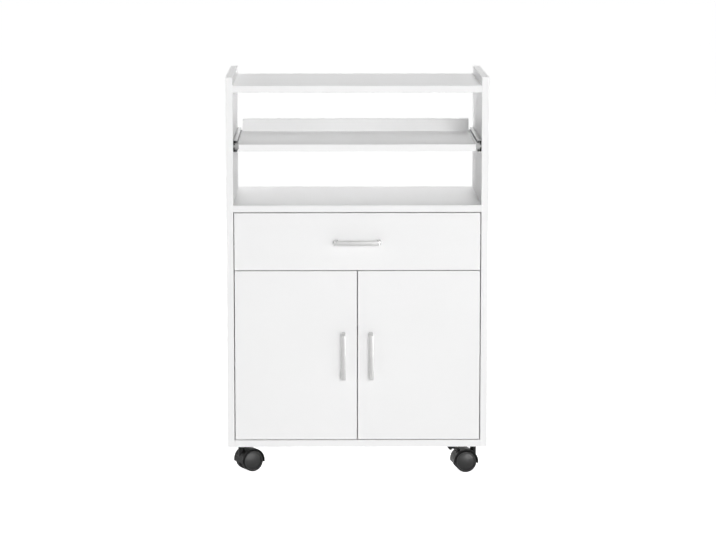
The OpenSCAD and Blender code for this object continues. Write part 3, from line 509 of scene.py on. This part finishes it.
def drawLever():
    # a blade with a toe at its end, a barrel round the pin, and two noses towards the wheels
    half, top, end = brake["half"], pivot[1] + brake["barrel"], pivot[0] + brake["reach"]
    toeStart = end - brake["toeBack"]
    toeEnd = toeStart + brake["toeLength"]
    lever = addBox((pivot[0], -half, top - brake["blade"]), (end, half, top))
    openMesh(lever)
    for x in (toeStart, toeEnd):
        cutAt((x, 0, 0), (1, 0, 0))
    pickFaces(lambda c, n: n.z < -facing and toeStart < c.x < toeEnd)
    extrude(0, 0, -brake["toeStep"])
    joinFlats()
    pickEdges(lambda c, run: abs(run.z) > brake["blade"] / 2 and c.x > end - play)
    roundOff(brake["corner"], brake["cornerSteps"])
    closeMesh()
    roundAll(lever, brake["edge"], brake["edgeSteps"], 50)
    tilt(lever, brake["rise"], *pivot)
    unite(lever, addRod(brake["barrel"], -half, half, "Y", pivot, corners["bore"]))
    for low, high in bothSides(brake["noseStart"], half):
        nose = addBox((pivot[0], low, pivot[1] - brake["nose"]),
                      (pivot[0] + brake["noseLength"], high, pivot[1] + brake["nose"]))
        unite(lever, tilt(nose, brakeAngle + 180 + brake["noseTurn"], *pivot))
    inner = brake["ear"] + brake["gap"]
    cutAway(lever, addRod(brake["barrel"] + brake["gap"], -inner, inner, "Y", pivot, corners["bore"]))
    unite(lever, addRod(brake["pin"], -half, half, "Y", pivot, corners["pin"]))
    finishShape(lever, 40, "nylon")
    return lever


hoods = {braked: drawHood(braked) for braked in (False, True)}
firstWheel = drawWheel()
firstLever = drawLever()
for node, (x, y, turn) in places.items():
    spot = Matrix.Translation(mm(x, y, 0)) @ Matrix.Rotation(math.radians(turn), 4, "Z")
    braked = node in brakedCasters
    fit(copyOf(hoods[braked]), node + "_hood", node + "_caster", node + "_caster_hood", spot)
    for which in ("inner", "outer"):
        hand = 1 if (which == "inner") == node.endswith("left") else -1
        turned = (spot @ Matrix.Translation(mm(axle[0], hand * wheel["start"], axle[1]))
                  @ Matrix.Rotation(math.radians(-90 * hand), 4, "X"))
        fit(copyOf(firstWheel), f"{node}_{which}_roller", f"{node}_{which}_wheel",
            f"{node}_caster_{which}_wheel", turned)
    if braked:
        fit(copyOf(firstLever), node + "_lever", node + "_brake", node + "_brake_lever", spot)
for piece in (*hoods.values(), firstWheel, firstLever):
    bpy.data.objects.remove(piece)
print("casters made")


# slides: rolled steel members, drawn with the panel at x = 0 and the front end at y = 0

slide = {"panel": 284, "length": 350, "half": 13.5, "steel": 1.2, "reach": 9.4, "bend": 3, "bendSteps": 6,
         "lip": 1.5, "lipBend": 1.7, "lipInside": 0.5, "screws": (0.1, 0.7, 0.9), "screwBore": 1.9,
         "screwHead": 3.88}
innerMember = {"start": 3.6, "end": 13, "half": 7.5, "bend": 2, "inside": 0.3, "bendSteps": 5, "tabPlay": 0.3,
               "tabClear": 0.4, "screwBore": 2.04}
guide = {"base": 1.24, "start": 3, "reach": 4.6, "length": 4, "play": 0.3, "topPlay": 0.04, "bendSteps": 5,
         "edge": 0.3}
through = 0.1  # how far a drill stands out at each side


def roundBends(steps, *bends):
    # rounds edges that run along the slide, given by x, height off the middle and radius
    for x, z, radius in bends:
        pickEdges(lambda c, run: abs(run.y) > 1 and near(c.x, x) and near(abs(c.z), z))
        roundOff(radius, steps)


def drawOuterMember():
    half, steel, reach, bend = slide["half"], slide["steel"], slide["reach"], slide["bend"]
    member = addBox((0, 0, -half), (steel, slide["length"], half))
    openMesh(member)
    for side in (-1, 1):
        cutAt((0, 0, side * (half - steel)), (0, 0, 1))
    pickFaces(lambda c, n: n.x > facing and abs(c.z) > half - steel)
    extrude(reach - steel, 0, 0)
    cutAt((reach - steel, 0, 0), (1, 0, 0))
    for side in (-1, 1):
        pickFaces(lambda c, n: c.x > reach - steel and n.z * side < -facing and c.z * side > 0)
        extrude(0, 0, -side * slide["lip"])
    joinFlats()
    roundBends(slide["bendSteps"], (0, half, bend), (steel, half - steel, bend - steel),
               (reach, half, slide["lipBend"]), (reach - steel, half - steel, slide["lipInside"]))
    closeMesh()
    for share in slide["screws"]:  # countersunk holes
        cutAway(member, addCone(slide["screwBore"], slide["screwHead"], -through, steel + through, "X",
                                (share * slide["length"], 0), corners["screw"]))
    return member


def drawInnerMember():
    half, start, end = innerMember["half"], innerMember["start"], innerMember["end"]
    steel, tabPlay = slide["steel"], innerMember["tabPlay"]
    member = addBox((end - steel, 0, -half), (end, slide["length"], half))
    openMesh(member)
    for side in (-1, 1):
        cutAt((0, 0, side * (half - steel)), (0, 0, 1))
    pickFaces(lambda c, n: n.x < -facing and abs(c.z) > half - steel)
    extrude(start - end + steel, 0, 0)
    # the front end is closed by a bent tab, which is stepped so that it passes between the guides
    cutAt((0, steel, 0), (0, 1, 0))
    step = guide["reach"] + tabPlay
    for edge, reach, narrow in ((end - steel, step, half - steel - innerMember["tabClear"]),
                                (step, steel + tabPlay, guide["start"] - tabPlay)):
        for side in (-1, 1):
            cutAt((0, 0, side * narrow), (0, 0, 1))
        pickFaces(lambda c, n: n.x < -facing and c.y < steel and abs(c.z) < narrow and c.x > start + 0.1)
        extrude(reach - edge, 0, 0)
    joinFlats()
    roundBends(innerMember["bendSteps"], (end, half, innerMember["bend"]),
               (end - steel, half - steel, innerMember["inside"]))
    closeMesh()
    for share in slide["screws"]:
        cutAway(member, addRod(innerMember["screwBore"], end - 2 * steel, end + steel, "X",
                               (share * slide["length"], 0), corners["screw"]))
    return member


def drawGuide():
    # a black plastic corner piece in the outer member's front mouth
    top, base = slide["half"] - slide["steel"] - guide["topPlay"], innerMember["half"] + guide["play"]
    step = innerMember["start"] - guide["play"]
    corner = addBox((guide["base"], 0, base), (guide["reach"], guide["length"], top))
    openMesh(corner)
    cutAt((step, 0, 0), (1, 0, 0))
    pickFaces(lambda c, n: n.z < -facing and c.x < step)
    extrude(0, 0, guide["start"] - innerMember["half"] - guide["play"])
    joinFlats()
    roundBends(guide["bendSteps"], (guide["base"], top, slide["bend"] - slide["steel"]))
    closeMesh()
    roundAll(corner, guide["edge"], 2, 50)
    return corner


def atSlide(node, hand, flip=1):
    # from the drawing to a slide's own place, mirrored on the right
    low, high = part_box(node)
    across = 1 if hand == "left" else -1
    spot = Matrix.Translation((-slide["panel"] / 1000 * across, low.y, (low.z + high.z) / 2))
    return spot @ Matrix.Diagonal((across, 1, flip, 1))


def isShadedRace(face):
    # the outside of an inner member's flange, where the balls run, painted dark as painted shade of the gap
    # between the members
    return abs(face.normal.z) > facing and abs(face.center.z) * 1000 > innerMember["half"] - 0.1


for member, kind in ((drawOuterMember(), "outer"), (drawInnerMember(), "inner")):
    finishShape(member, 30, "zinc", "raceShade", "cutEdgeAndShade")
    for face in member.data.polygons:
        if abs(face.normal.y) > facing:  # sheared ends and the bent front tabs are darker and duller than the rolled faces: duller as sheared steel, darker as painted shade
            # painted shade on the ends and the front tabs, which are also duller as sheared steel
            face.material_index = 2
        elif kind == "inner" and isShadedRace(face):
            # painted shade of the gap between the members, on the flange outsides
            face.material_index = 1
    for group in ("pullout", "drawer"):
        for hand in ("left", "right"):
            node = f"{group}_{hand}_{kind}_slide"
            fit(copyOf(member), f"{group}_{hand}_{kind}_member", "cart" if kind == "outer" else group, node,
                atSlide(node, hand))
    bpy.data.objects.remove(member)
firstGuide = drawGuide()
finishShape(firstGuide, 35, "nylon")
for group in ("pullout", "drawer"):
    for hand in ("left", "right"):
        for end, flip in (("upper", 1), ("lower", -1)):
            fit(copyOf(firstGuide), f"{group}_{hand}_{end}_guide", "cart", "slide_end_guides",
                atSlide(f"{group}_{hand}_outer_slide", hand, flip))
bpy.data.objects.remove(firstGuide)
print("slides made")


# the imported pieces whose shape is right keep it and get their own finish

kept = {
    "board": ["left_side_panel", "right_side_panel", "top_shelf", "cabinet_top", "bottom_panel",
              "inner_shelf", "pullout_shelf", "pullout_lip", "drawer_front", "drawer_left_side",
              "drawer_right_side", "drawer_back", "left_door", "right_door"],
    "hardboard": ["back_panel", "drawer_bottom"],
    "zinc": ["shelf_pins", "hinge_arms", "caster_stems", "pullout_ball_cages", "drawer_ball_cages",
             "left_hinge_cups", "right_hinge_cups"] + [node + "_caster_axle" for node in places],
    "screw": ["cam_fittings", "carcass_screws", "pullout_fasteners", "drawer_fasteners", "left_door_screws",
              "right_door_screws"],
    "beech": ["dowels"],
}
for finish, names in kept.items():
    for node in names:
        for holder in nodes[node].material_slots:
            holder.material = finishes[finish]
print("packed pieces finished:", sum(len(names) for names in kept.values()))


# floor, light and camera

floor = {"size": 120, "middle": (0, 20, 0), "tone": 0.84, "patchTone": 0.985, "patches": 0.8, "rough": 0.9,
         "shine": 0.1, "glow": 0.22, "bright": 0.90}
sky = {"strength": 0.10, "backdrop": 1.0, "shineLeft": 0.32, "shineRight": 0.88}
# some lamps only light the faces, others only show in the shine of metal and plastic
lamps = {"front": {"spot": (1.0, -7.0, 1.9), "size": (1.8, 1.8), "power": 225, "unseen": "glossy"},
         "strip": {"spot": (2.4, -3.2, 0.35), "size": (3.0, 0.5), "power": 32, "unseen": "diffuse"},
         "low": {"spot": (1.8, -4.8, 0.5), "size": (2.6, 0.8), "power": 9, "unseen": "diffuse"},
         "frontRight": {"spot": (3.4, -4.6, 1.0), "size": (1.6, 1.6), "power": 26},
         "frontLeft": {"spot": (-3.4, -4.6, 1.0), "size": (1.6, 1.6), "power": 23},
         "back": {"spot": (0.0, 4.5, 1.5), "size": (2.4, 2.4), "power": 31},
         "backHigh": {"spot": (0.6, 2.5, 3.0), "size": (2.4, 2.4), "power": 16, "unseen": "glossy"},
         "overhead": {"spot": (0.1, 0.2, 3.8), "size": (2.4, 2.4), "power": 10, "unseen": "glossy"},
         "backLow": {"spot": (0.0, 4.2, 0.35), "size": (2.0, 0.5), "power": 50, "unseen": "glossy"},
         "left": {"spot": (-4.6, 0.6, 1.3), "size": (2.0, 2.0), "power": 60},
         "right": {"spot": (4.6, 0.6, 1.3), "size": (2.0, 2.0), "power": 60}}
lampAim = (0, 0, 0.45)
white = (1, 1, 1, 1)


def addFloor():
    clearSelection()
    bpy.ops.mesh.primitive_plane_add(size=floor["size"], location=floor["middle"])
    ground = bpy.context.object
    ground.name = "floor"
    finish, tree, shader = newFinish("paleFloor")
    patches = speckle(tree, whereOn(tree), floor["patches"], 2)
    tint(tree, shader, spread(tree, patches, 0, 1), grey(floor["tone"]),
         grey(floor["tone"] * floor["patchTone"]))
    shader.inputs["Roughness"].default_value = floor["rough"]
    shader.inputs["Specular IOR Level"].default_value = floor["shine"]
    shader.inputs["Emission Color"].default_value = white
    # the floor gives the cart a little light, and looks brighter than that itself
    rays = addNode(tree, "ShaderNodeLightPath").outputs["Is Camera Ray"]
    glow = spread(tree, rays, floor["glow"], floor["bright"], 0, 1)
    tree.links.new(glow, shader.inputs["Emission Strength"])
    ground.data.materials.append(finish)


def addSky():
    # a weak sky that lights the cart, a brighter one that shows in its metal and plastic, and a plain bright
    # backdrop where the camera sees past the floor
    world = bpy.data.worlds.new("paleStudio")
    bpy.context.scene.world = world
    world.use_nodes = True
    tree = world.node_tree
    mix = tree.nodes["Background"]
    mix.inputs["Color"].default_value = white
    mix.inputs["Strength"].default_value = sky["strength"]
    rays = addNode(tree, "ShaderNodeLightPath")
    direction = addNode(tree, "ShaderNodeTexCoord").outputs["Generated"]
    side = addNode(tree, "ShaderNodeSeparateXYZ", {0: direction}).outputs["X"]
    shine = spread(tree, side, sky["shineLeft"], sky["shineRight"], -1, 1)
    for ray, strength in (("Is Glossy Ray", shine), ("Is Camera Ray", sky["backdrop"])):
        other = addNode(tree, "ShaderNodeBackground", {"Color": white, "Strength": strength})
        mix = addNode(tree, "ShaderNodeMixShader",
                      {0: rays.outputs[ray], 1: mix.outputs[0], 2: other.outputs[0]})
    tree.links.new(mix.outputs[0], tree.nodes["World Output"].inputs["Surface"])


def setAt(name, data, spot, aim):
    # puts a lamp or a camera at a spot, turned towards a point
    holder = bpy.data.objects.new(name, data)
    bpy.context.scene.collection.objects.link(holder)
    holder.location = spot
    holder.rotation_euler = (Vector(aim) - Vector(spot)).to_track_quat("-Z", "Y").to_euler()
    return holder


def addLight(name, spot, size, power, unseen=""):
    lamp = bpy.data.lights.new(name, "AREA")
    lamp.shape = "RECTANGLE"
    lamp.size, lamp.size_y = size
    lamp.energy = power
    holder = setAt(name, lamp, spot, lampAim)
    holder.visible_glossy = unseen != "glossy"
    holder.visible_diffuse = unseen != "diffuse"


addFloor()
addSky()
for name, setting in lamps.items():
    addLight(name + "Light", **setting)

view = {"spot": (-0.078, -6.566, 1.37), "aim": (0.0014, -0.186, 0.4775), "lens": 141.1, "sensor": 36,
        "clip": (0.1, 300)}
lens = bpy.data.cameras.new("camera")
lens.sensor_width = view["sensor"]
lens.lens = view["lens"]
lens.clip_start, lens.clip_end = view["clip"]
bpy.context.scene.camera = setAt("camera", lens, view["spot"], view["aim"])
bpy.context.scene.view_settings.view_transform = "Standard"
print("floor, light and camera set")

clearSelection()
